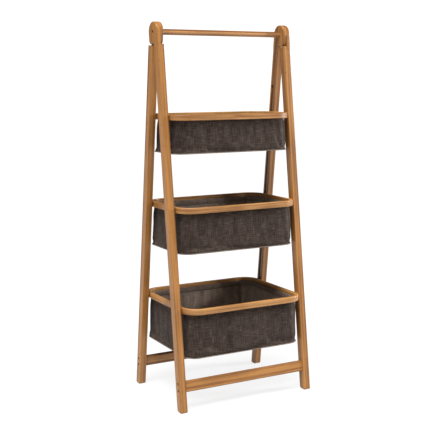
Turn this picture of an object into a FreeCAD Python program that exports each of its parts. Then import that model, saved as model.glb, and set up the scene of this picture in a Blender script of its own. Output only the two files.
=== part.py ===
import FreeCAD, Part
import math
import os
import re
import Sketcher

# Folding ladder rack: a front and a rear pair of bamboo legs turn about one round rod, and
# three bamboo rims with fabric bags hang on pins in the front legs.
# Millimetres. +X is right seen from the front, +Y is towards the back, +Z is up; the origin is
# on the floor under the rod.

os.makedirs("parts", exist_ok=True)
V = FreeCAD.Vector
doc = FreeCAD.newDocument("ladder_rack")

# name, number, what it sizes
SIZES = [
    ("pivot_height", 1023.0, "floor to the axis of the rod"),
    ("half_width", 210.0, "middle plane to the outer face of a leg"),
    ("lean_angle", 7.1, "lean of each leg from upright, degrees"),
    ("leg_thick", 20.0, "leg, side to side"),
    ("leg_deep", 25.0, "leg, front to back, square to its length"),
    ("leg_gap", 0.25, "closed legs stay this far off the line through the rod"),
    ("leg_ease", 2.0, "rounding of the long edges of a leg"),
    ("foot_round", 4.5, "rounding of the outer edge of a foot"),
    ("foot_inner_round", 8.0, "rounding of the inner edge of a foot"),
    ("head_radius", 27.0, "round top of a leg about the rod"),
    ("head_drop", 31.0, "rod axis to the lower edge of the head"),
    ("head_corner", 11.0, "rounded lower corner of the head"),
    ("head_blend", 50.0, "rod axis to where the head has faded into the leg"),
    ("front_shoulder", 36.0, "rod axis to the square shoulder of a front leg's half lap"),
    ("rear_shoulder", 38.5, "the same for a rear leg, which shows as an open notch"),
    ("lap_gap", 0.3, "free space between the two halves of the lap"),
    ("rod_radius", 8.0, "round rod"),
    ("rod_clear", 0.06, "running clearance round the rod"),
    ("rod_seat", 4.5, "depth of the blind bore for the end of the rod"),
    ("rod_end_gap", 0.3, "end of the rod to the bottom of its bore"),
    ("screw_radius", 2.0, "shank of every wood screw"),
    ("screw_clear", 0.06, "clearance round a screw shank"),
    ("screw_head", 4.0, "radius of a screw head"),
    ("screw_head_deep", 2.2, "height of a screw head"),
    ("screw_sink", 1.2, "top of a screw head below the face of the leg"),
    ("screw_bite", 24.0, "length of a screw inside the bar or the rod"),
    ("bar_rise", 67.9, "floor to the middle of a crossbar, along the leg"),
    ("bar_high", 30.0, "crossbar height"),
    ("bar_thick", 14.0, "crossbar thickness"),
    ("bar_inset", 4.0, "crossbar behind the outer face of the legs"),
    ("bar_ease", 3.0, "rounding of the long edges of a crossbar"),
    ("bar_screw_step", 19.0, "between the two screws at one end of a crossbar"),
    ("rim_gap", 3.0, "side of a rim to the inner face of a leg"),
    ("rim_high", 16.0, "height of a rim"),
    ("rim_wall", 11.0, "thickness of the wall of a rim"),
    ("rim_corner", 50.0, "outer corner radius of a rim"),
    ("rim_ease", 2.0, "rounding of the edges of a rim"),
    ("top_level", 802.5, "top face of the top rim"),
    ("middle_level", 554.5, "top face of the middle rim"),
    ("bottom_level", 283.5, "top face of the bottom rim"),
    ("top_reach", 46.681, "pin to the front face of the top rim"),
    ("middle_reach", 48.041, "the same for the middle rim"),
    ("bottom_reach", 47.286, "the same for the bottom rim"),
    ("top_bag_deep", 107.0, "top face of the rim to the underside of the top bag"),
    ("middle_bag_deep", 128.5, "the same for the middle bag"),
    ("bottom_bag_deep", 140.0, "the same for the bottom bag"),
    ("bag_reveal", 10.0, "bare wood above the hem, inside a rim"),
    ("bag_cloth", 2.0, "thickness of the cloth"),
    ("bag_floor", 3.0, "thickness of the doubled cloth of the floor"),
    ("bag_fold", 1.8, "rounding round the floor of a bag"),
    ("pin_offset", 14.0, "pins and grooves off the line through the rod"),
    ("pin_radius", 3.0, "shank of a pin or stud"),
    ("pin_clear", 0.06, "clearance round a pin or stud"),
    ("pin_seat", 12.0, "length of a pin inside the leg"),
    ("pin_head", 4.5, "radius of a pin head"),
    ("pin_head_deep", 1.6, "height of a pin head"),
    ("pin_sink", 2.5, "depth of the recess for a pin head in the rim"),
    ("pin_free", 0.35, "free play beside a pin head or a washer"),
    ("washer_radius", 7.0, "spacer washer"),
    ("stud_seat", 8.0, "length of a stud inside the rim"),
    ("stud_flange", 5.2, "radius of the flange of a stud"),
    ("stud_flange_deep", 1.8, "thickness of the flange of a stud"),
    ("groove_wide", 7.2, "width of a groove in a rear leg"),
    ("groove_deep", 6.0, "depth of a groove"),
    ("groove_eye", 6.0, "radius of the round upper end of a groove"),
    ("top_travel", 80.4, "length of the top groove"),
    ("middle_travel", 144.2, "length of the middle groove"),
    ("bottom_travel", 212.6, "length of the bottom groove"),
]
LEVELS = ["top", "middle", "bottom"]

sheet = doc.addObject("Spreadsheet::Sheet", "Sizes")
for row, (name, number, meaning) in enumerate(SIZES, start=1):
    sheet.set("A%d" % row, name)
    sheet.set("B%d" % row, str(number))
    sheet.set("C%d" % row, meaning)
    sheet.setAlias("B%d" % row, name)
doc.recompute()
NAMES = re.compile(r"\b(" + "|".join(name for name, number, meaning in SIZES) + r")\b")

# Rules that several pieces share, written with the names of the sheet.
LEAN = "(lean_angle * 1 deg)"
LAP = "((leg_thick - lap_gap) / 2)"
BAR_DROP = "(pivot_height / cos" + LEAN + " - bar_rise)"
INNER_FACE = "(half_width - leg_thick)"
RIM_HALF = "(half_width - leg_thick - rim_gap)"
PIN_DROP = "((pivot_height - %s_level + rim_high / 2) / cos" + LEAN + " + pin_offset * tan" + LEAN + ")"
PIN_Y = "((pivot_height - %s_level + rim_high / 2) * tan" + LEAN + " + pin_offset / cos" + LEAN + ")"
HALF_DEEP = "(" + PIN_Y + " + %s_reach)"


def rule(text):
    """The same formula with every name pointing at the sheet."""
    return NAMES.sub(r"Sizes.\1", text)


def bind(thing, **formulas):
    """Tie properties to the sheet; x, y, z and turn stand for the placement."""
    places = {"x": "Placement.Base.x", "y": "Placement.Base.y", "z": "Placement.Base.z",
              "turn": "Placement.Rotation.Angle"}
    for key, text in formulas.items():
        thing.setExpression(places.get(key, key), rule(text))


def value(text):
    """The number a formula gives now."""
    return float(sheet.evalExpression(rule(text)))


def lean_with(thing, way, x="0"):
    """Put a piece into the frame of the front (-1) or rear (+1) legs: rod at the origin."""
    thing.Placement = FreeCAD.Placement(V(0, 0, 0), FreeCAD.Rotation(V(way, 0, 0), 5))
    bind(thing, x=x, z="pivot_height", turn="lean_angle")


def new_body(label):
    body = doc.addObject("PartDesign::Body", label)
    body.Label = label
    return body


def new_sketch(body, label, role, start="0"):
    """An empty sketch on a plane of the body, moved along the plane's normal by start."""
    sketch = body.newObject("Sketcher::SketchObject", label)
    plane = next(item for item in body.Origin.OriginFeatures if item.Role == role)
    sketch.AttachmentSupport = [(plane, "")]
    sketch.MapMode = "FlatFace"
    sketch.setExpression("AttachmentOffset.Base.z", rule(start))
    return sketch


def measure(sketch, kind, line, end, text):
    """A size in a sketch, from its origin to one end of a line, tied to a formula."""
    size = Sketcher.Constraint(kind, -1, 1, line, end, value(text))
    sketch.setExpression("Constraints[%d]" % sketch.addConstraint(size), rule(text))


def outline(body, label, points, start="0"):
    """A closed outline in the side plane of a body, points as pairs of formulas."""
    sketch = new_sketch(body, label, "YZ_Plane", start)
    spots = [V(value(y), value(z), 0) for y, z in points]
    for k, spot in enumerate(spots):
        sketch.addGeometry(Part.LineSegment(spot, spots[(k + 1) % len(spots)]), False)
    for k in range(len(spots)):
        sketch.addConstraint(Sketcher.Constraint("Coincident", k, 2, (k + 1) % len(spots), 1))
    for k, (y, z) in enumerate(points):
        measure(sketch, "DistanceX", k, 1, y)
        measure(sketch, "DistanceY", k, 1, z)
    return sketch


def rounded(sketch, wide, deep, corner):
    """A rounded rectangle about the origin, from half its width, half its depth and its radius."""
    a, b, r = value(wide), value(deep), value(corner)
    first = sketch.GeometryCount
    turns = [(a - r, r - b, -90), (a - r, b - r, 0), (r - a, b - r, 90), (r - a, r - b, 180)]
    lines = [(r - a, -b, a - r, -b), (a, r - b, a, b - r), (a - r, b, r - a, b), (-a, b - r, -a, r - b)]
    for (x1, y1, x2, y2), (x, y, angle) in zip(lines, turns):
        sketch.addGeometry(Part.LineSegment(V(x1, y1, 0), V(x2, y2, 0)), False)
        circle = Part.Circle(V(x, y, 0), V(0, 0, 1), r)
        arc = Part.ArcOfCircle(circle, math.radians(angle), math.radians(angle + 90))
        sketch.addGeometry(arc, False)
    for k in range(8):
        here, after = first + k, first + (k + 1) % 8
        sketch.addConstraint(Sketcher.Constraint("Tangent", here, 2, after, 1))
    for k in (0, 4):
        sketch.addConstraint(Sketcher.Constraint("Horizontal", first + k))
        sketch.addConstraint(Sketcher.Constraint("Vertical", first + k + 2))
    for k in (1, 3, 5):
        sketch.addConstraint(Sketcher.Constraint("Equal", first + k, first + k + 2))
    radius = sketch.addConstraint(Sketcher.Constraint("Radius", first + 1, r))
    sketch.setExpression("Constraints[%d]" % radius, rule(corner))
    measure(sketch, "DistanceY", first, 1, "-(%s)" % deep)
    measure(sketch, "DistanceX", first + 2, 1, wide)
    measure(sketch, "DistanceY", first + 4, 1, deep)
    measure(sketch, "DistanceX", first + 6, 1, "-(%s)" % wide)


def pad(body, sketch, length):
    feature = body.newObject("PartDesign::Pad", sketch.Name + "_pad")
    feature.Profile = sketch
    bind(feature, Length=length)
    sketch.Visibility = False
    return feature


def drum(body, kind, label, radius, length, x, y="0", z="0"):
    """A round feature along X; kind is Additive or Subtractive."""
    feature = body.newObject("PartDesign::%sCylinder" % kind, label)
    feature.Placement = FreeCAD.Placement(V(0, 0, 0), FreeCAD.Rotation(V(0, 1, 0), 90))
    bind(feature, Radius=radius, Height=length, x=x, y=y, z=z)
    return feature


def block(body, kind, label, long, wide, high, x, y, z):
    """A square feature; kind is Additive or Subtractive."""
    feature = body.newObject("PartDesign::%sBox" % kind, label)
    bind(feature, Length=long, Width=wide, Height=high, x=x, y=y, z=z)
    return feature


def round_off(body, label, radius, wanted):
    """Round the edges of the last feature that the test picks."""
    doc.recompute()
    tip = body.Tip
    picked = []
    for number, edge in enumerate(tip.Shape.Edges, start=1):
        if wanted(edge):
            picked.append("Edge%d" % number)
    if not picked:
        raise RuntimeError("no edge to round for " + label)
    feature = body.newObject("PartDesign::Fillet", label)
    feature.Base = (tip, picked)
    bind(feature, Radius=radius)
    doc.recompute()
    return feature


def lies_along(edge, axis):
    """True when the edge is straight and runs along x, y or z."""
    box = edge.BoundBox
    spans = {"x": box.XLength, "y": box.YLength, "z": box.ZLength}
    return spans[axis] > 1 and all(spans[other] < 0.01 for other in spans if other != axis)


def leg(label, side, way):
    """One leg. side -1 left, +1 right; way -1 front (outer half of the lap), +1 rear."""
    body = new_body(label)
    lean_with(body, way, "-half_width" if side < 0 else INNER_FACE)
    out = "(%d)" % way
    low = "(-(pivot_height + %s * sin" + LEAN + ") / cos" + LEAN + ")"
    square = "front_shoulder" if way < 0 else "rear_shoulder"
    shank = outline(body, label + "_shank", [
        (out + " * (leg_deep + leg_gap)", "-" + square),
        (out + " * leg_gap", "-" + square),
        (out + " * leg_gap", low % "leg_gap"),
        (out + " * (leg_deep + leg_gap)", low % "(leg_deep + leg_gap)")])
    pad(body, shank, "leg_thick")
    head_first = (way < 0) == (side < 0)
    start = "0" if head_first else "leg_thick - " + LAP
    head = outline(body, label + "_head", [
        (out + " * (leg_deep + leg_gap)", "-head_blend"),
        (out + " * head_radius", "-head_drop"),
        (out + " * head_radius", "0"),
        (out + " * -head_radius", "0"),
        (out + " * -head_radius", "-head_drop"),
        (out + " * leg_gap", "-head_drop"),
        (out + " * leg_gap", "-head_blend")], start)
    pad(body, head, LAP)
    drum(body, "Additive", label + "_disc", "head_radius", LAP, start)
    reach = value("head_radius")
    drop = value("head_drop")
    thick = value("leg_thick")
    face = value("leg_deep + leg_gap")
    ankle = -0.9 * value("pivot_height")
    round_off(body, label + "_corner", "head_corner", lambda edge: lies_along(edge, "x")
              and abs(edge.BoundBox.YMin + way * reach) < 0.01
              and abs(edge.BoundBox.ZMin + drop) < 0.01)
    round_off(body, label + "_toe", "foot_round", lambda edge: lies_along(edge, "x")
              and edge.BoundBox.ZMin < ankle and abs(abs(edge.BoundBox.YMin) - face) < 0.01)
    round_off(body, label + "_heel", "foot_inner_round", lambda edge: lies_along(edge, "x")
              and edge.BoundBox.ZMin < ankle and abs(edge.BoundBox.YMin) < 1)
    shoulder = value(square)
    round_off(body, label + "_ease", "leg_ease", lambda edge: edge.BoundBox.XLength < 0.01
              and (edge.BoundBox.XMin < 0.01 or edge.BoundBox.XMin > thick - 0.01)
              and not (lies_along(edge, "y") and abs(edge.BoundBox.ZMin + shoulder) < 0.01))
    if way < 0:
        rod_x = LAP + " - rod_seat" if side < 0 else "leg_thick - " + LAP
        drum(body, "Subtractive", label + "_rod_seat", "rod_radius + rod_clear", "rod_seat", rod_x)
    else:
        drum(body, "Subtractive", label + "_rod_bore", "rod_radius + rod_clear", "leg_thick", "0")
    if way < 0:
        screw_holes(body, label + "_rod_screw", side, "0", "0")
        for level in LEVELS:
            seat_x = "leg_thick - pin_seat" if side < 0 else "0"
            drum(body, "Subtractive", label + "_pin_" + level, "pin_radius + pin_clear",
                 "pin_seat", seat_x, "-pin_offset", "-" + PIN_DROP % level)
    else:
        for level in LEVELS:
            groove(body, label + "_groove_" + level, side, level)
    for step in (-1, 1):
        screw_holes(body, label + "_bar_screw_%d" % (step + 2), side,
                    out + " * (leg_deep + leg_gap - bar_inset - bar_thick / 2)",
                    "-" + BAR_DROP + " + (%d) * bar_screw_step / 2" % step)
    return body


def screw_holes(body, label, side, y, z):
    """A through hole and a recess for a screw head, in the outer face of a leg."""
    drum(body, "Subtractive", label + "_hole", "screw_radius + screw_clear", "leg_thick", "0", y, z)
    deep = "screw_sink + screw_head_deep"
    drum(body, "Subtractive", label + "_recess", "screw_head + 0.25", deep,
         "0" if side < 0 else "leg_thick - screw_sink - screw_head_deep", y, z)


def groove(body, label, side, level):
    """The keyhole groove in the inner face of a rear leg."""
    start = "leg_thick - groove_deep" if side < 0 else "0"
    foot = "-" + PIN_DROP % level
    travel = level + "_travel"
    block(body, "Subtractive", label + "_run", "groove_deep", "groove_wide", travel,
          start, "pin_offset - groove_wide / 2", foot)
    drum(body, "Subtractive", label + "_low", "groove_wide / 2", "groove_deep",
         start, "pin_offset", foot)
    drum(body, "Subtractive", label + "_eye", "groove_eye", "groove_deep",
         start, "pin_offset", foot + " + " + travel)


def crossbar(label, way):
    """The flat bar between two legs, screwed through both of them."""
    body = new_body(label)
    lean_with(body, way)
    front = "leg_deep + leg_gap - bar_inset"
    edge_y = "-(%s)" % front if way < 0 else "%s - bar_thick" % front
    block(body, "Additive", label + "_bar", "2 * " + INNER_FACE, "bar_thick", "bar_high",
          "-" + INNER_FACE, edge_y, "-" + BAR_DROP + " - bar_high / 2")
    round_off(body, label + "_ease", "bar_ease", lambda edge: lies_along(edge, "x"))
    for side in (-1, 1):
        for step in (-1, 1):
            x = "-" + INNER_FACE if side < 0 else INNER_FACE + " - screw_bite - 1"
            drum(body, "Subtractive", "%s_pilot_%d_%d" % (label, side + 2, step + 2),
                 "screw_radius + screw_clear", "screw_bite + 1", x,
                 "(%d) * (%s - bar_thick / 2)" % (way, front),
                 "-" + BAR_DROP + " + (%d) * bar_screw_step / 2" % step)
    return body


def loose_drum(label, radius, length, x, y="0", z="0"):
    """A plain cylinder along X, one building block of the small hardware."""
    solid = doc.addObject("Part::Cylinder", label)
    solid.Placement = FreeCAD.Placement(V(0, 0, 0), FreeCAD.Rotation(V(0, 1, 0), 90))
    bind(solid, Radius=radius, Height=length, x=x, y=y, z=z)
    return solid


def fuse(label, solids):
    joined = doc.addObject("Part::MultiFuse", label)
    joined.Label = label
    joined.Shapes = solids
    for solid in solids:
        solid.Visibility = False
    return joined


def screw(label, side, y, z, bottom):
    """Blocks of one screw with its head in the outer face of a leg; bottom is its length."""
    head_x = "-half_width + screw_sink" if side < 0 else "half_width - screw_sink - screw_head_deep"
    shank_x = ("-half_width + screw_sink + screw_head_deep / 2" if side < 0
               else "half_width - screw_sink - screw_head_deep / 2 - (%s)" % bottom)
    slot_x = "-half_width + screw_sink - 0.01" if side < 0 else "half_width - screw_sink - 1"
    head = loose_drum(label + "_head", "screw_head", "screw_head_deep", head_x, y, z)
    shank = loose_drum(label + "_shank", "screw_radius", bottom, shank_x, y, z)
    socket = loose_drum(label + "_socket", "screw_radius * 0.7", "1.01", slot_x, y, z)
    whole = doc.addObject("Part::MultiFuse", label + "_whole")
    whole.Shapes = [head, shank]
    cut = doc.addObject("Part::Cut", label)
    cut.Label = label
    cut.Base = whole
    cut.Tool = socket
    return cut


def rim(level):
    """The rounded rectangular rim of one basket, origin at its middle."""
    label = level + "_rim"
    deep = HALF_DEEP % (level, level)
    body = new_body(label)
    bind(body, z=level + "_level - rim_high / 2")
    ring = new_sketch(body, label + "_outline", "XY_Plane", "-rim_high / 2")
    rounded(ring, RIM_HALF, deep, "rim_corner")
    rounded(ring, RIM_HALF + " - rim_wall", deep + " - rim_wall", "rim_corner - rim_wall")
    pad(body, ring, "rim_high")
    round_off(body, label + "_ease", "rim_ease", lambda edge: edge.BoundBox.ZLength < 0.01)
    for side in (-1, 1):
        tail = "_left" if side < 0 else "_right"
        wall_x = "-" + RIM_HALF if side < 0 else RIM_HALF + " - rim_wall"
        drum(body, "Subtractive", label + "_pin_hole" + tail, "pin_radius + pin_clear",
             "rim_wall", wall_x, "-" + PIN_Y % level)
        sink_x = ("rim_wall - pin_sink - " + RIM_HALF if side < 0
                  else RIM_HALF + " - rim_wall")
        drum(body, "Subtractive", label + "_pin_recess" + tail, "pin_head + 0.4", "pin_sink",
             sink_x, "-" + PIN_Y % level)
        stud_x = "-" + RIM_HALF if side < 0 else RIM_HALF + " - stud_seat"
        drum(body, "Subtractive", label + "_stud_hole" + tail, "pin_radius + pin_clear",
             "stud_seat", stud_x, PIN_Y % level)
    return body


def bag(level):
    """The open fabric bag that hangs inside a rim, as a plain closed shell of cloth."""
    label = level + "_bag"
    wide = "(" + RIM_HALF + " - rim_wall)"
    deep = "(" + HALF_DEEP % (level, level) + " - rim_wall)"
    drop = level + "_bag_deep"
    body = new_body(label)
    bind(body, z=level + "_level")
    floor = new_sketch(body, label + "_floor", "XY_Plane", "-" + drop)
    rounded(floor, wide, deep, "rim_corner - rim_wall")
    pad(body, floor, "bag_floor")
    walls = new_sketch(body, label + "_walls", "XY_Plane", "-" + drop)
    rounded(walls, wide, deep, "rim_corner - rim_wall")
    rounded(walls, wide + " - bag_cloth", deep + " - bag_cloth", "rim_corner - rim_wall - bag_cloth")
    pad(body, walls, drop + " - bag_reveal")
    bottom = -value(drop)
    round_off(body, label + "_fold", "bag_fold", lambda edge: edge.BoundBox.ZLength < 0.01
              and edge.BoundBox.ZMin < bottom + 0.01)
    return body


def pivot_pins(level):
    """Two pins pushed into the front legs, with their heads sunk inside the rim."""
    y = "-" + PIN_Y % level
    z = level + "_level - rim_high / 2"
    near = "(" + RIM_HALF + " - rim_wall + pin_sink - pin_free)"
    parts = []
    for side in (-1, 1):
        tail = "_pin_left" if side < 0 else "_pin_right"
        head_x = "-" + near if side < 0 else near + " - pin_head_deep"
        length = INNER_FACE + " + pin_seat - 0.3 - " + near + " + pin_head_deep / 2"
        shank_x = ("-(%s + pin_seat - 0.3)" % INNER_FACE if side < 0
                   else near + " - pin_head_deep / 2")
        head = loose_drum(level + tail + "_head", "pin_head", "pin_head_deep", head_x, y, z)
        shank = loose_drum(level + tail + "_shank", "pin_radius", length, shank_x, y, z)
        parts += [head, shank]
    return fuse(level + "_pivot_pins", parts)


def spacers(level):
    """Two washers on the pins that hold the rim off the front legs."""
    y = "-" + PIN_Y % level
    z = level + "_level - rim_high / 2"
    thick = "(rim_gap - pin_free)"
    rings = []
    for side in (-1, 1):
        tail = "_washer_left" if side < 0 else "_washer_right"
        x = "-" + INNER_FACE if side < 0 else INNER_FACE + " - " + thick
        disc = loose_drum(level + tail + "_disc", "washer_radius", thick, x, y, z)
        hole = loose_drum(level + tail + "_hole", "pin_radius + pin_clear", thick, x, y, z)
        ring = doc.addObject("Part::Cut", level + tail)
        ring.Base = disc
        ring.Tool = hole
        rings.append(ring)
    return fuse(level + "_spacer_washers", rings)


def slide_studs(level):
    """Two studs in the rear of the rim that run towards the grooves of the rear legs."""
    y = PIN_Y % level
    z = level + "_level - rim_high / 2"
    parts = []
    for side in (-1, 1):
        tail = "_stud_left" if side < 0 else "_stud_right"
        shank = "stud_seat - 0.3 + rim_gap - pin_free"
        shank_x = ("-%s + pin_free" % INNER_FACE if side < 0
                   else RIM_HALF + " - stud_seat + 0.3")
        flange_x = "-%s - stud_flange_deep" % RIM_HALF if side < 0 else RIM_HALF
        parts.append(loose_drum(level + tail + "_shank", "pin_radius", shank, shank_x, y, z))
        parts.append(loose_drum(level + tail + "_flange", "stud_flange", "stud_flange_deep",
                                flange_x, y, z))
    return fuse(level + "_slide_studs", parts)


nodes = []

# Legs, and the bars between them.
for way, place in ((-1, "front"), (1, "rear")):
    for side, tail in ((-1, "left"), (1, "right")):
        nodes.append(leg("%s_leg_%s" % (place, tail), side, way))
    nodes.append(crossbar(place + "_crossbar", way))
    for side, tail in ((-1, "left"), (1, "right")):
        pair = []
        for step in (-1, 1):
            pair.append(screw("%s_bar_screw_%s_%d" % (place, tail, step + 2), side,
                              "(%d) * (leg_deep + leg_gap - bar_inset - bar_thick / 2)" % way,
                              "-" + BAR_DROP + " + (%d) * bar_screw_step / 2" % step,
                              "leg_thick - screw_sink - screw_head_deep / 2 + screw_bite"))
        group = fuse("%s_crossbar_screws_%s" % (place, tail), pair)
        lean_with(group, way)
        nodes.append(group)

# The rod through the heads of all four legs, held by a screw in each end.
rod = new_body("top_rod")
bind(rod, z="pivot_height")
rod_half = "(half_width - %s + rod_seat - rod_end_gap)" % LAP
drum(rod, "Additive", "top_rod_round", "rod_radius", "2 * " + rod_half, "-" + rod_half)
for side, tail in ((-1, "left"), (1, "right")):
    drum(rod, "Subtractive", "top_rod_pilot_" + tail, "screw_radius + screw_clear",
         "screw_bite + 1", "-" + rod_half if side < 0 else rod_half + " - screw_bite - 1")
    single = screw("rod_screw_" + tail, side, "0", "0",
                   LAP + " - rod_seat - screw_sink - screw_head_deep / 2 + rod_end_gap + screw_bite")
    bind(single, z="pivot_height")
    nodes.append(single)
nodes.append(rod)

# The three baskets and what they turn on.
for level in LEVELS:
    nodes.append(rim(level))
    nodes.append(bag(level))
    nodes.append(pivot_pins(level))
    nodes.append(spacers(level))
    nodes.append(slide_studs(level))

doc.recompute()
for thing in doc.Objects:
    if "Invalid" in thing.State or "Error" in thing.State:
        raise RuntimeError("not rebuilt: " + thing.Label)
for node in nodes:
    if node.Shape.isNull() or not node.Shape.isValid() or not node.Shape.Solids:
        raise RuntimeError("bad shape: " + node.Label)
    node.Shape.exportStep("parts/%s.step" % node.Label)
print("pieces:", len(nodes))
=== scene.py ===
import math

import bmesh
import bpy
from mathutils import Matrix, Vector, noise


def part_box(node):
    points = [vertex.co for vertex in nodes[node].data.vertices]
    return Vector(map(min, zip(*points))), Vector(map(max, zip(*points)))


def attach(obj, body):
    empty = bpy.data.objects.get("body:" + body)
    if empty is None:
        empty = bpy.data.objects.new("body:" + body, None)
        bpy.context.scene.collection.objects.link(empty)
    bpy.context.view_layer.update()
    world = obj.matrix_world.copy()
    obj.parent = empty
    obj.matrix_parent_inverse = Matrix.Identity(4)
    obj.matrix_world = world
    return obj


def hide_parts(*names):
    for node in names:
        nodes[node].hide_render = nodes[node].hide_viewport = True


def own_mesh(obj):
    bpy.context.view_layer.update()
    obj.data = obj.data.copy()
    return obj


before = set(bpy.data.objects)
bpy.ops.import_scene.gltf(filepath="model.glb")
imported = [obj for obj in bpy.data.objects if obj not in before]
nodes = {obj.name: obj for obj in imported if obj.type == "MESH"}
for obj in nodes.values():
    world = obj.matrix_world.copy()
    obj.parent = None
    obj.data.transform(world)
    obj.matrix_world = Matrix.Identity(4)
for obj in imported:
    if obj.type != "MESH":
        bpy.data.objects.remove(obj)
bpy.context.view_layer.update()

# ---------------------------------------------------------------- sizes, in metres

LEVELS = ("top", "middle", "bottom")
LEAN = math.radians(7.1)
RIM_CORNER = 0.050        # outer corner radius of a rim
RIM_WALL = 0.011          # thickness of a rim
RIM_RUN = 0.25            # length of grain for each radian round a rim
REVEAL = 0.010            # bare wood above the hem, inside a rim
CLOTH = 0.0016            # thickness of the bag's cloth
HEM_HIGH = 0.015          # folded hem, held inside the rim
HEM_THICK = 0.0014
PIPING = 0.0013           # radius of the seam round a bag's floor
STITCH_STEP = 0.0062      # one stitch and the space after it
GRID = 0.006              # cloth squares of the bag before it settles
CORNER_STEPS = 14         # cloth squares round one corner of a bag
SLIP = 0.0004             # bag to the inside of its rim
BAG_EASE = 0.0005         # how much tighter a bag's corner is than the rim's inside
HEM_EASE = 0.0020         # and a hem's than the bag's
CORNER_PINCH = 0.0030     # how much a bag's corner tightens from its rim to its floor
DEEP_BELLY = 0.0008       # how far the front and back of a bag stand out
HANG_BACK = 0.0022        # how far a bag hangs to the rear of its rim
SEAM_DROP = 0.003         # lowest row of the wall above the floor of a bag
SOFT_WAVE = 0.0022        # height of the soft waves on the sides of a bag
PLEAT = 0.0021            # height of the pleats at its corners
PLEAT_STEP = 6.2          # cloth squares from one pleat to the next
PLEAT_REACH = 8.0         # cloth squares over which the pleats fade out
SEED_STEP = 7.3           # gives each bag its own waves
BEAD = (0.0021, 0.0005, 0.0005)  # half length, width and height of one stitch
STRIP_THIN = 0.0057       # section of one bamboo strip
STRIP_WIDE = 0.0120
KNUCKLE_STEP = 0.23       # from one knuckle of a strip to the next
YARN_PAIR = 0.0028        # one yarn over and one under, drawn coarser than the real 1.2 mm
# how far a bag's sides stand out just under the rim, and how much more at the floor
BELLY = {"top": (0.0040, 0.0035), "middle": (0.0045, 0.0005), "bottom": (0.0025, 0.0015)}

# ---------------------------------------------------------------- small helpers


def linear(code):
    """An sRGB hex colour as linear red, green, blue, alpha."""
    parts = [int(code[k:k + 2], 16) / 255 for k in (1, 3, 5)]
    parts = [c / 12.92 if c <= 0.04045 else ((c + 0.055) / 1.055) ** 2.4 for c in parts]
    return (*parts, 1.0)


def node(tree, kind, sockets=None, **settings):
    """Adds a node. A socket given as another node's output is linked, anything else is set."""
    made = tree.nodes.new(kind)
    for key, value in settings.items():
        setattr(made, key, value)
    for key, value in (sockets or {}).items():
        if isinstance(value, bpy.types.NodeSocket):
            tree.links.new(value, made.inputs[key])
        else:
            made.inputs[key].default_value = value
    return made


def new_material(name):
    """An empty material with its shader; returns the material, its tree and the shader."""
    material = bpy.data.materials.new(name)
    material.use_nodes = True
    return material, material.node_tree, material.node_tree.nodes["Principled BSDF"]


def paint(piece, material):
    piece.data.materials.clear()
    piece.data.materials.append(material)


# ---------------------------------------------------------------- materials


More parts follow.
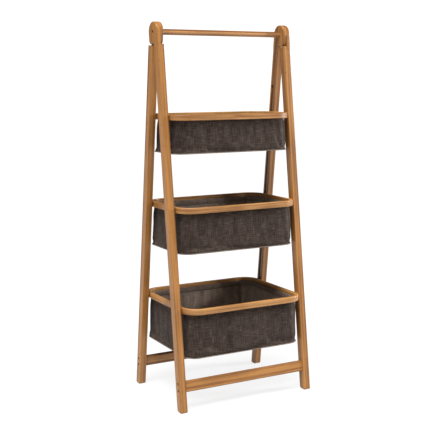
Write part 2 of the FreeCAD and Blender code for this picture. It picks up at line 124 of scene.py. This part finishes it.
def bamboo(name, turn=(0.0, 0.0, 0.0), ring=None, light="#a06d34", deep="#693f15"):
    """Strip bamboo, steamed to honey brown, planed and lacquered satin.

    It gives the eye long straight strips of slightly different brown, a darker knuckle across
    each strip every 23 cm, and fine dark fibres along it. turn lays the grain along a
    piece; ring is the half width and half depth of a bent rim, whose grain goes round it.
    """
    material, tree, shader = new_material(name)
    place = node(tree, "ShaderNodeTexCoord").outputs["Object"]
    if ring:
        # across the grain: out from the centre line of the nearest corner; along it: round the rim
        straight = (ring[0] - RIM_CORNER, ring[1] - RIM_CORNER, 0)
        over = place
        for operation, value in (("MULTIPLY", (1, 1, 0)), ("ABSOLUTE", (0, 0, 0)),
                                 ("SUBTRACT", straight), ("MAXIMUM", (0, 0, 0))):
            over = node(tree, "ShaderNodeVectorMath", {0: over, 1: value},
                        operation=operation).outputs[0]
        far = node(tree, "ShaderNodeVectorMath", {0: over}, operation="LENGTH").outputs["Value"]
        axes = node(tree, "ShaderNodeSeparateXYZ", {0: place}).outputs
        angle = node(tree, "ShaderNodeMath", {0: axes[1], 1: axes[0]},
                     operation="ARCTAN2").outputs[0]
        round_way = node(tree, "ShaderNodeMath", {0: angle, 1: RIM_RUN},
                         operation="MULTIPLY").outputs[0]
        place = node(tree, "ShaderNodeCombineXYZ", {0: far, 1: axes[2], 2: round_way}).outputs[0]
    else:
        place = node(tree, "ShaderNodeMapping", {"Vector": place, "Rotation": turn}).outputs[0]
    axes = node(tree, "ShaderNodeSeparateXYZ", {0: place}).outputs

    # strips 5.7 by 12 mm in section, each with its own shade
    strips = []
    for across, size in ((axes[0], STRIP_THIN), (axes[1], STRIP_WIDE)):
        count = node(tree, "ShaderNodeMath", {0: across, 1: size}, operation="DIVIDE").outputs[0]
        strips.append(node(tree, "ShaderNodeMath", {0: count}, operation="FLOOR").outputs[0])
    strip = node(tree, "ShaderNodeCombineXYZ", {0: strips[0], 1: strips[1]}).outputs[0]
    shade = node(tree, "ShaderNodeTexWhiteNoise", {0: strip}, noise_dimensions="3D").outputs[0]

    # knuckles: every 230 mm along a strip, shifted from strip to strip, about 10 mm long
    shift = node(tree, "ShaderNodeMath", {0: shade, 1: 7.0}, operation="MULTIPLY").outputs[0]
    along = node(tree, "ShaderNodeMath", {0: axes[2], 1: KNUCKLE_STEP},
                 operation="DIVIDE").outputs[0]
    along = node(tree, "ShaderNodeMath", {0: along, 1: shift}, operation="ADD").outputs[0]
    phase = node(tree, "ShaderNodeMath", {0: along, 1: 0.5}, operation="PINGPONG").outputs[0]
    knuckle = node(tree, "ShaderNodeMapRange", {0: phase, 1: 0.0, 2: 0.022, 3: 1.0, 4: 0.0},
                   interpolation_type="SMOOTHSTEP").outputs[0]

    # fibres 0.5 mm wide and 40 mm long, streaks 4 mm wide and 200 mm long, clouds of 110 mm
    thin = node(tree, "ShaderNodeMapping", {"Vector": place, "Scale": (1900, 1900, 26)}).outputs[0]
    fibre = node(tree, "ShaderNodeTexNoise",
                 {"Vector": thin, "Scale": 1.0, "Detail": 2.0}).outputs[0]
    wide = node(tree, "ShaderNodeMapping", {"Vector": place, "Scale": (260, 260, 5)}).outputs[0]
    streak = node(tree, "ShaderNodeTexNoise",
                  {"Vector": wide, "Scale": 1.0, "Detail": 3.0}).outputs[0]
    cloud = node(tree, "ShaderNodeTexNoise",
                 {"Vector": place, "Scale": 9.0, "Detail": 2.0}).outputs[0]

    # glue lines: darker for 0.7 mm to each side of the joint between two strips
    joint = node(tree, "ShaderNodeMath", {0: axes[1], 1: STRIP_WIDE}, operation="DIVIDE").outputs[0]
    edge = node(tree, "ShaderNodeMath", {0: joint, 1: 0.5}, operation="PINGPONG").outputs[0]
    glue = node(tree, "ShaderNodeMapRange", {0: edge, 1: 0.0, 2: 0.06, 3: 1.0, 4: 0.0},
                interpolation_type="SMOOTHSTEP").outputs[0]

    # from light to deep: the strip's own shade, its streaks and its clouds, about their middle
    mix = -1.575
    for part, weight in ((shade, 0.95), (streak, 2.2), (cloud, 0.9)):
        mix = node(tree, "ShaderNodeMath", {0: part, 1: weight, 2: mix},
                   operation="MULTIPLY_ADD").outputs[0]
    colour = node(tree, "ShaderNodeMix", {0: mix, 6: linear(light), 7: linear(deep)},
                  data_type="RGBA").outputs[2]
    dark_fibre = node(tree, "ShaderNodeMapRange",
                      {0: fibre, 1: 0.52, 2: 0.72, 3: 0.0, 4: 1.0}).outputs[0]
    for mark, most, tone in ((dark_fibre, 0.30, "#7d4a1f"), (knuckle, 0.30, "#7a4718"),
                             (glue, 0.45, "#6d3f16")):
        share = node(tree, "ShaderNodeMath", {0: mark, 1: most}, operation="MULTIPLY").outputs[0]
        colour = node(tree, "ShaderNodeMix", {0: share, 6: colour, 7: linear(tone)},
                      data_type="RGBA").outputs[2]
    tree.links.new(colour, shader.inputs["Base Color"])

    rough = node(tree, "ShaderNodeMath", {0: fibre, 1: 0.16, 2: 0.36},
                 operation="MULTIPLY_ADD").outputs[0]
    tree.links.new(rough, shader.inputs["Roughness"])
    height = node(tree, "ShaderNodeMath", {0: knuckle, 1: -0.6, 2: fibre},
                  operation="MULTIPLY_ADD").outputs[0]
    bump = node(tree, "ShaderNodeBump", {"Height": height, "Strength": 0.25, "Distance": 0.0002})
    tree.links.new(bump.outputs[0], shader.inputs["Normal"])
    shader.inputs["Coat Weight"].default_value = 0.05
    shader.inputs["Coat Roughness"].default_value = 0.25
    shader.inputs["IOR"].default_value = 1.5
    return material


def woven(name, base, dark, pale):
    """Polyester linen-look cloth: a plain weave of slubby yarns in three grey-browns.

    It gives the eye a soft mottle, pale and dark slubs 25 mm long and 2 mm wide along both
    thread directions and a matt surface with little sheen. The real yarns are 0.6 mm apart, too
    fine to show here, so the weave is drawn at 1.4 mm. It follows the cloth's own map, in metres.
    """
    material, tree, shader = new_material(name)
    flat = node(tree, "ShaderNodeUVMap", uv_map="weave").outputs[0]
    axes = node(tree, "ShaderNodeSeparateXYZ", {0: flat}).outputs
    dashes = []
    for scale in ((40, 520, 1), (520, 40, 1)):
        stretched = node(tree, "ShaderNodeMapping", {"Vector": flat, "Scale": scale}).outputs[0]
        dashes.append(node(tree, "ShaderNodeTexNoise",
                           {"Vector": stretched, "Scale": 1.0, "Detail": 2.0}).outputs[0])
    slub = node(tree, "ShaderNodeMath", {0: dashes[0], 1: dashes[1]}, operation="ADD").outputs[0]
    # mottle 17 mm across, clouds 70 mm across
    mottle = node(tree, "ShaderNodeTexNoise",
                  {"Vector": flat, "Scale": 60.0, "Detail": 2.0}).outputs[0]
    cloud = node(tree, "ShaderNodeTexNoise",
                 {"Vector": flat, "Scale": 14.0, "Detail": 2.0}).outputs[0]

    # zero is the base colour, above it turns pale and below it dark
    tone = -3.7
    for part, weight in ((slub, 2.7), (mottle, 0.9), (cloud, 1.1)):
        tone = node(tree, "ShaderNodeMath", {0: part, 1: weight, 2: tone},
                    operation="MULTIPLY_ADD").outputs[0]
    lift = node(tree, "ShaderNodeMapRange", {0: tone, 1: 0.0, 2: 0.8, 3: 0.0, 4: 0.8}).outputs[0]
    drop = node(tree, "ShaderNodeMapRange", {0: tone, 1: -0.8, 2: 0.0, 3: 0.9, 4: 0.0}).outputs[0]
    colour = node(tree, "ShaderNodeMix", {0: lift, 6: linear(base), 7: linear(pale)},
                  data_type="RGBA").outputs[2]
    colour = node(tree, "ShaderNodeMix", {0: drop, 6: colour, 7: linear(dark)},
                  data_type="RGBA").outputs[2]
    tree.links.new(colour, shader.inputs["Base Color"])

    # over and under of the yarns, 1.4 mm apart each way
    waves = []
    for k in (0, 1):
        turns = node(tree, "ShaderNodeMath", {0: axes[k], 1: math.tau / YARN_PAIR},
                     operation="MULTIPLY").outputs[0]
        waves.append(node(tree, "ShaderNodeMath", {0: turns}, operation="SINE").outputs[0])
    weave = node(tree, "ShaderNodeMath", {0: waves[0], 1: waves[1]},
                 operation="MULTIPLY").outputs[0]
    height = node(tree, "ShaderNodeMath", {0: weave, 1: 0.5, 2: slub},
                  operation="MULTIPLY_ADD").outputs[0]
    bump = node(tree, "ShaderNodeBump", {"Height": height, "Strength": 0.7, "Distance": 0.0005})
    tree.links.new(bump.outputs[0], shader.inputs["Normal"])
    shader.inputs["Roughness"].default_value = 0.9
    shader.inputs["Specular IOR Level"].default_value = 0.2
    shader.inputs["Sheen Weight"].default_value = 0.05
    shader.inputs["Sheen Roughness"].default_value = 0.45
    shader.inputs["IOR"].default_value = 1.45
    return material


def plated(name, code, rough):
    """Zinc plated steel, turned and tumbled: grey metal with fine scuffs and a soft shine."""
    material, tree, shader = new_material(name)
    place = node(tree, "ShaderNodeTexCoord").outputs["Object"]
    # scuffs 1 mm across
    scuff = node(tree, "ShaderNodeTexNoise",
                 {"Vector": place, "Scale": 900.0, "Detail": 3.0}).outputs[0]
    shader.inputs["Metallic"].default_value = 1.0
    wear = node(tree, "ShaderNodeMath", {0: scuff, 1: 0.35}, operation="MULTIPLY").outputs[0]
    colour = node(tree, "ShaderNodeMix", {0: wear, 6: linear(code), 7: linear("#3a3733")},
                  data_type="RGBA").outputs[2]
    tree.links.new(colour, shader.inputs["Base Color"])
    dull = node(tree, "ShaderNodeMath", {0: scuff, 1: 0.25, 2: rough},
                operation="MULTIPLY_ADD").outputs[0]
    tree.links.new(dull, shader.inputs["Roughness"])
    return material


def nylon(name):
    """Tan moulded nylon: close to the wood in tone, a faint mottle and a soft waxy shine."""
    material, tree, shader = new_material(name)
    place = node(tree, "ShaderNodeTexCoord").outputs["Object"]
    # mottle 4 mm across
    milk = node(tree, "ShaderNodeTexNoise",
                {"Vector": place, "Scale": 260.0, "Detail": 2.0}).outputs[0]
    colour = node(tree, "ShaderNodeMix", {0: milk, 6: linear("#8a6134"), 7: linear("#6f4b25")},
                  data_type="RGBA").outputs[2]
    tree.links.new(colour, shader.inputs["Base Color"])
    dull = node(tree, "ShaderNodeMath", {0: milk, 1: 0.2, 2: 0.35},
                operation="MULTIPLY_ADD").outputs[0]
    tree.links.new(dull, shader.inputs["Roughness"])
    shader.inputs["Subsurface Weight"].default_value = 0.1
    shader.inputs["Subsurface Scale"].default_value = 0.002
    return material


# ---------------------------------------------------------------- cloth shapes


def outline(half_x, half_y, corner, counts, middle_y, z):
    """Points round a rounded rectangle, from the start of the front right corner."""
    centres = ((half_x - corner, corner - half_y, -90), (half_x - corner, half_y - corner, 0),
               (corner - half_x, half_y - corner, 90), (corner - half_x, corner - half_y, 180))
    ends = []
    for x, y, start in centres:
        arc = []
        for step in range(counts[2] + 1):
            angle = math.radians(start + 90 * step / counts[2])
            arc.append(Vector((x + corner * math.cos(angle), y + corner * math.sin(angle), 0)))
        ends.append(arc)
    points = []
    for k, arc in enumerate(ends):
        points += arc[:-1]
        after = ends[(k + 1) % 4][0]
        run = counts[1] if k % 2 == 0 else counts[0]
        points += [arc[-1].lerp(after, step / run) for step in range(run)]
    return [Vector((p.x, p.y + middle_y, z)) for p in points]


def net(points, faces, maps, last, counts):
    """Fills the last ring with even squares, its corners at the middles of the round corners."""
    half = counts[2] // 2
    wide, deep = counts[0] + counts[2], counts[1] + counts[2]
    size = 2 * (wide + deep)
    right = [(half + k) % size for k in range(deep + 1)]
    back = [(half + deep + k) % size for k in range(wide + 1)]
    left = [(half + deep + wide + k) % size for k in range(deep + 1)]
    front = [(half + 2 * deep + wide + k) % size for k in range(wide + 1)]
    left.reverse()
    back.reverse()
    grid = {}
    for i in range(wide + 1):
        for j in range(deep + 1):
            if i in (0, wide) or j in (0, deep):
                if i in (0, wide):
                    grid[i, j] = last + (left if i == 0 else right)[j]
                else:
                    grid[i, j] = last + (front if j == 0 else back)[i]
                continue
            u, v = i / wide, j / deep
            low, high = points[last + front[i]], points[last + back[i]]
            west, east = points[last + left[j]], points[last + right[j]]
            ends = [points[last + front[0]], points[last + front[-1]],
                    points[last + back[0]], points[last + back[-1]]]
            spot = (low * (1 - v) + high * v + west * (1 - u) + east * u
                    - ends[0] * (1 - u) * (1 - v) - ends[1] * u * (1 - v)
                    - ends[2] * (1 - u) * v - ends[3] * u * v)
            grid[i, j] = len(points)
            points.append(spot)
    for i in range(wide):
        for j in range(deep):
            face = (grid[i, j], grid[i, j + 1], grid[i + 1, j + 1], grid[i + 1, j])
            faces.append(face)
            maps.append(tuple((points[k].x, points[k].y) for k in face))


def loft(name, rows, counts, close_section=False, floor=False):
    """Skins rings of points into one mesh with a cloth map in metres."""
    rings = [outline(*row[:3], counts, *row[3:]) for row in rows]
    size = len(rings[0])
    points = [p for ring in rings for p in ring]
    longest = max(rings, key=lambda ring: ring[0].x)
    around = [0.0]
    for k in range(size):
        around.append(around[-1] + (longest[(k + 1) % size] - longest[k]).length)
    down = [0.0]
    for upper, lower in zip(rings, rings[1:] + rings[:1]):
        down.append(down[-1] + (lower[size // 2] - upper[size // 2]).length)
    faces = []
    maps = []
    spans = len(rings) if close_section else len(rings) - 1
    for r in range(spans):
        s = (r + 1) % len(rings)
        for k in range(size):
            m = (k + 1) % size
            faces.append((r * size + k, s * size + k, s * size + m, r * size + m))
            maps.append(((around[k], -down[r]), (around[k], -down[r + 1]),
                         (around[k + 1], -down[r + 1]), (around[k + 1], -down[r])))
    if floor:
        net(points, faces, maps, (len(rings) - 1) * size, counts)
    mesh = bpy.data.meshes.new(name)
    mesh.from_pydata(points, [], faces)
    layer = mesh.uv_layers.new(name="weave")
    for face, corners in zip(mesh.polygons, maps):
        for loop, spot in zip(face.loop_indices, corners):
            layer.data[loop].uv = spot
    mesh.shade_smooth()
    piece = bpy.data.objects.new(name, mesh)
    bpy.context.scene.collection.objects.link(piece)
    return piece, size


def only(piece):
    """Makes one piece the selected and active one."""
    bpy.ops.object.select_all(action="DESELECT")
    piece.select_set(True)
    bpy.context.view_layer.objects.active = piece


def apply(piece, kind, **settings):
    """Adds a modifier with its settings and applies it."""
    modifier = piece.modifiers.new(kind.lower(), kind)
    for key, value in settings.items():
        setattr(modifier, key, value)
    only(piece)
    bpy.ops.object.modifier_apply(modifier=modifier.name)


def settle(piece, sewn, frames=24, slack=0.010, cap=0.008):
    """Lets the free cloth of a bag hang and crease between its hem and its floor.

    slack is how much longer the cloth is cut, as a share, and cap is the most a point may move.
    """
    start = [v.co.copy() for v in piece.data.vertices]
    group = piece.vertex_groups.new(name="sewn")
    group.add(sewn, 1.0, "REPLACE")
    modifier = piece.modifiers.new("hang", "CLOTH")
    cloth = modifier.settings
    cloth.quality = 7
    cloth.mass = 0.25
    cloth.tension_stiffness = 25
    cloth.compression_stiffness = 25
    cloth.shear_stiffness = 12
    cloth.bending_stiffness = 1.2
    cloth.shrink_min = -slack
    cloth.vertex_group_mass = "sewn"
    cloth.use_pressure = True
    cloth.uniform_pressure_force = 0.2
    modifier.collision_settings.use_collision = False
    modifier.point_cache.frame_start = 1
    modifier.point_cache.frame_end = frames
    scene = bpy.context.scene
    for moment in range(1, frames + 1):
        scene.frame_set(moment)
    only(piece)
    bpy.ops.object.modifier_apply(modifier=modifier.name)
    for vertex, rest in zip(piece.data.vertices, start):
        move = vertex.co - rest
        if move.length > cap:
            vertex.co = rest + move * (cap / move.length)
    scene.frame_set(1)
    piece.vertex_groups.clear()


def crumple(piece, size, counts, first, last, seed):
    """Pleats where the cloth turns a corner of the rim, and soft waves 60 mm long between."""
    points = piece.data.vertices
    even = [v.co.copy() for v in points]
    starts = [0, counts[2] + counts[1], 2 * counts[2] + counts[1] + counts[0],
              3 * counts[2] + 2 * counts[1] + counts[0]]
    for r in range(first, last):
        t = (r - first) / (last - first)
        hold = math.sin(math.pi * min(1.0, t + 0.08)) ** 0.5
        for k in range(size):
            after = even[r * size + (k + 1) % size]
            run = after - even[r * size + k - 1 if k else r * size + size - 1]
            outward = Vector((run.y, -run.x, 0)).normalized()
            spot = even[r * size + k]
            soft = noise.noise(Vector((spot.x * 16 + spot.z * 9, spot.y * 16 + seed, spot.z * 14)))
            shift = SOFT_WAVE * soft
            for corner, start in enumerate(starts):
                off = (k - start - counts[2] / 2 + size / 2) % size - size / 2
                fade = math.exp(-(off / PLEAT_REACH) ** 2)
                lean = off + 2.0 * t * (1 if corner % 2 else -1)
                wave = math.cos(math.tau * lean / PLEAT_STEP)
                shift += PLEAT * fade * wave * (1.0 - 0.45 * t)
            points[r * size + k].co = spot + outward * (shift * hold)


def bag(level, rim_low, rim_high, floor_z):
    """One hanging bag: hem inside the rim, walls that open out a little, flat sewn floor."""
    wide = rim_high.x - RIM_WALL
    deep = rim_high.y - RIM_WALL
    bend = RIM_CORNER - RIM_WALL - BAG_EASE
    top = rim_high.z - REVEAL
    under = rim_low.z
    counts = (round(2 * (wide - bend) / GRID), round(2 * (deep - bend) / GRID), CORNER_STEPS)
    # half width, half depth, corner, shift to the back, height
    rows = [(wide - SLIP, deep - SLIP, bend, 0.0, z) for z in (top, (top + under) / 2, under)]
    steps = round((under - floor_z - SEAM_DROP) / GRID)
    for step in range(1, steps + 1):
        t = step / steps
        ease = min(1.0, 1.6 * t) ** 0.8
        belly = BELLY[level][0] * min(1.0, 5 * t) + BELLY[level][1] * t * t
        rows.append((wide - SLIP + belly, deep - SLIP + DEEP_BELLY * ease,
                     bend - CORNER_PINCH * t, HANG_BACK * ease,
                     under + (floor_z + SEAM_DROP - under) * t))
    edge = rows[-1]
    sewn_rows = (0, 1, len(rows) - 1)
    # two small steps turn the cloth in from the wall to the floor
    rows.append((edge[0] - 0.0008, edge[1] - 0.0008, edge[2] - 0.0008, edge[3], floor_z + 0.0009))
    rows.append((edge[0] - 0.003, edge[1] - 0.003, edge[2] - 0.003, edge[3], floor_z))
    piece, size = loft(level + "_hanging_bag", rows, counts, floor=True)
    crumple(piece, size, counts, 3, sewn_rows[2], LEVELS.index(level) * SEED_STEP)
    sewn = [k for k in range(len(piece.data.vertices))
            if k // size in sewn_rows or k // size > sewn_rows[-1]]
    settle(piece, sewn)
    paint(piece, bag_cloth)
    # painted light: the inner faces get the paler copy of the same cloth
    piece.data.materials.append(painted_light_lining)
    apply(piece, "SOLIDIFY", thickness=CLOTH, offset=-1.0, material_offset=1)
    apply(piece, "SUBSURF", levels=1, render_levels=1)
    piece.data.shade_smooth()

    around = (edge[0] + 0.0002, edge[1] + 0.0002, edge[2])
    seam = []
    for step in range(8):
        angle = math.tau * step / 8
        out = PIPING * math.cos(angle)
        seam.append((around[0] + out, around[1] + out, around[2] + out, edge[3],
                     floor_z + 0.0014 - PIPING * math.sin(angle)))
    piping, _ = loft(level + "_floor_seam", seam, counts, close_section=True)

    band = []
    face = wide - SLIP - CLOTH
    side = deep - SLIP - CLOTH
    for out, z in ((0.0, top + 0.0006), (-HEM_THICK * 0.7, top + 0.0005),
                   (-HEM_THICK, top - 0.0008), (-HEM_THICK, top - HEM_HIGH / 2),
                   (-HEM_THICK, top - HEM_HIGH + 0.0008), (-HEM_THICK * 0.6, top - HEM_HIGH),
                   (0.0, top - HEM_HIGH), (0.0, top - HEM_HIGH / 2)):
        band.append((face + out, side + out, bend - HEM_EASE + out, 0.0, z))
    hem, _ = loft(level + "_hem", band, counts, close_section=True)

    path = outline(face - HEM_THICK, side - HEM_THICK, bend - HEM_EASE - HEM_THICK, counts,
                   0.0, top - HEM_HIGH + 0.0035)
    return piece, piping, hem, path


def thread(name, path):
    """A row of stitches along a closed path, each a flattened bead with its ends sunk in."""
    length = sum((b - a).length for a, b in zip(path, path[1:] + path[:1]))
    number = round(length / STITCH_STEP)
    bpy.ops.object.select_all(action="DESELECT")
    bpy.ops.mesh.primitive_uv_sphere_add(segments=8, ring_count=5, radius=1.0)
    bead = bpy.context.active_object
    whole = bmesh.new()
    spacing = length / number
    travelled = 0.0
    target = spacing / 2
    for a, b in zip(path, path[1:] + path[:1]):
        run = (b - a).length
        while target <= travelled + run and run > 0:
            spot = a.lerp(b, (target - travelled) / run)
            along = (b - a).normalized()
            inward = Vector((0, 0, 1)).cross(along).normalized()
            turn = Matrix((along, inward, Vector((0, 0, 1)))).transposed().to_4x4()
            shape = Matrix.Diagonal((*BEAD, 1.0))
            part = bead.data.copy()
            part.transform(Matrix.Translation(spot) @ turn @ shape)
            whole.from_mesh(part)
            bpy.data.meshes.remove(part)
            target += spacing
        travelled += run
    bpy.data.objects.remove(bead)
    mesh = bpy.data.meshes.new(name)
    bmesh.ops.recalc_face_normals(whole, faces=whole.faces)
    whole.to_mesh(mesh)
    whole.free()
    mesh.shade_smooth()
    piece = bpy.data.objects.new(name, mesh)
    bpy.context.scene.collection.objects.link(piece)
    return piece


# ---------------------------------------------------------------- finishes on the wood and metal

front_grain = bamboo("steamed_bamboo_front_legs", turn=(LEAN, 0, 0))
rear_grain = bamboo("steamed_bamboo_rear_legs", turn=(-LEAN, 0, 0))
cross_grain = bamboo("steamed_bamboo_crossbars", turn=(0, math.radians(90), 0))
rod_grain = bamboo("steamed_bamboo_rod", turn=(0, math.radians(90), 0), light="#a9794a")
dark_screw = plated("black_zinc_screws", "#5a544e", 0.35)
bright_pin = plated("bright_zinc_pins", "#c9c7c2", 0.22)
washer_nylon = nylon("tan_nylon_washers")
finishes = {"front_leg": front_grain, "rear_leg": rear_grain, "crossbar": cross_grain,
            "top_rod": rod_grain, "screw": dark_screw, "pins": bright_pin, "studs": bright_pin,
            "washers": washer_nylon}
for name, thing in nodes.items():
    if name.endswith("_rim"):
        low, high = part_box(name)
        paint(thing, bamboo("steamed_bamboo_" + name, ring=(high[0], high[1]),
                            light="#b8884f", deep="#7f5122"))
        continue
    for word, material in finishes.items():
        if word in name and ("screw" not in name or word == "screw"):
            paint(thing, material)

# ---------------------------------------------------------------- bags

# the same cloth three times: dark outside, and paler copies inside a bag and at its folded hems,
# painted lighter to stand in for the light that falls inside the bags
bag_cloth = woven("melange_linen_look_cloth", "#362b25", "#1f1713", "#52463e")
# painted light: the inside of a bag, the same cloth made paler
painted_light_lining = woven("inner_cloth_painted_lighter", "#85766a", "#6f6258", "#998a7d")
# painted light: a paler copy of the cloth for the hems inside the rims, also used on the floor
# seams
painted_light_hem_cloth = woven("hem_cloth_painted_pale", "#6f6156", "#594c43", "#85766a")
# spun polyester thread: matt, and a little uneven in colour every 0.8 mm
sewing, sewing_tree, sewing_shader = new_material("grey_sewing_thread")
spun = node(sewing_tree, "ShaderNodeTexNoise",
            {"Vector": node(sewing_tree, "ShaderNodeTexCoord").outputs["Object"], "Scale": 1200.0})
spun_colour = node(sewing_tree, "ShaderNodeMix",
                   {0: spun.outputs[0], 6: linear("#4d443e"), 7: linear("#6b615a")},
                   data_type="RGBA").outputs[2]
sewing_tree.links.new(spun_colour, sewing_shader.inputs["Base Color"])
sewing_shader.inputs["Roughness"].default_value = 0.75

for level in LEVELS:
    low, high = (Vector(corner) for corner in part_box(level + "_rim"))
    floor_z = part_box(level + "_bag")[0][2]
    basket = level + "_basket"
    hanging, piping, hem, path = bag(level, low, high, floor_z)
    stitches = thread(level + "_hem_stitches", path)
    paint(piping, painted_light_hem_cloth)
    paint(hem, painted_light_hem_cloth)
    paint(stitches, sewing)
    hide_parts(level + "_bag")
    for piece in (hanging, piping, hem, stitches):
        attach(piece, basket)
    for piece in (hanging, piping):
        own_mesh(piece)

# ---------------------------------------------------------------- floor, light and camera

bpy.ops.object.select_all(action="DESELECT")
bpy.ops.mesh.primitive_plane_add(size=40, location=(0, 0, 0))
floor = bpy.context.active_object
floor.name = "floor"
pale, _, pale_shader = new_material("pale_floor")
pale_shader.inputs["Base Color"].default_value = linear("#616161")
# a faint glow, so that shade on the floor stays pale
pale_shader.inputs["Emission Color"].default_value = linear("#ffffff")
pale_shader.inputs["Emission Strength"].default_value = 0.83
pale_shader.inputs["Roughness"].default_value = 0.9
pale_shader.inputs["Specular IOR Level"].default_value = 0.1
paint(floor, pale)


def softbox(name, place, aim, size, power):
    """A square area lamp turned towards a point."""
    lamp = bpy.data.lights.new(name, "AREA")
    lamp.size = size
    lamp.energy = power
    thing = bpy.data.objects.new(name, lamp)
    thing.location = place
    thing.rotation_euler = (Vector(aim) - Vector(place)).to_track_quat("-Z", "Y").to_euler()
    bpy.context.scene.collection.objects.link(thing)


# a broad overhead light from the front left, and two lamps that lift the sides
sky = bpy.data.lights.new("overhead", "SUN")
sky.energy = 5.7
sky.angle = math.radians(32)
overhead = bpy.data.objects.new("overhead", sky)
overhead.rotation_euler = (math.radians(17), math.radians(-15), 0)
bpy.context.scene.collection.objects.link(overhead)
softbox("window_right", (2.9, -0.9, 1.4), (0, 0, 0.6), 0.6, 120)
softbox("fill_left", (-3.4, -0.9, 2.2), (0, 0, 0.9), 1.6, 34)

world = bpy.data.worlds.new("studio")
world.use_nodes = True
bpy.context.scene.world = world
backdrop = world.node_tree.nodes["Background"]
backdrop.inputs["Color"].default_value = linear("#ffffff")
# white to look at, and a weak fill from all round on the rack
sight = node(world.node_tree, "ShaderNodeLightPath").outputs["Is Camera Ray"]
glow = node(world.node_tree, "ShaderNodeMath", {0: sight, 1: 0.12}, operation="ADD").outputs[0]
world.node_tree.links.new(glow, backdrop.inputs["Strength"])

eye = bpy.data.cameras.new("camera")
eye.lens = 74.62
eye.sensor_width = 36
camera = bpy.data.objects.new("camera", eye)
camera.location = (-1.2308, -2.2391, 0.8873)
camera.rotation_euler = (Matrix.Rotation(math.radians(-28.461), 3, "Z")
                         @ Matrix.Rotation(math.radians(81.51), 3, "X")
                         @ Matrix.Rotation(math.radians(-0.22), 3, "Z")).to_euler()
bpy.context.scene.collection.objects.link(camera)
bpy.context.scene.camera = camera
bpy.context.scene.view_settings.view_transform = "Standard"
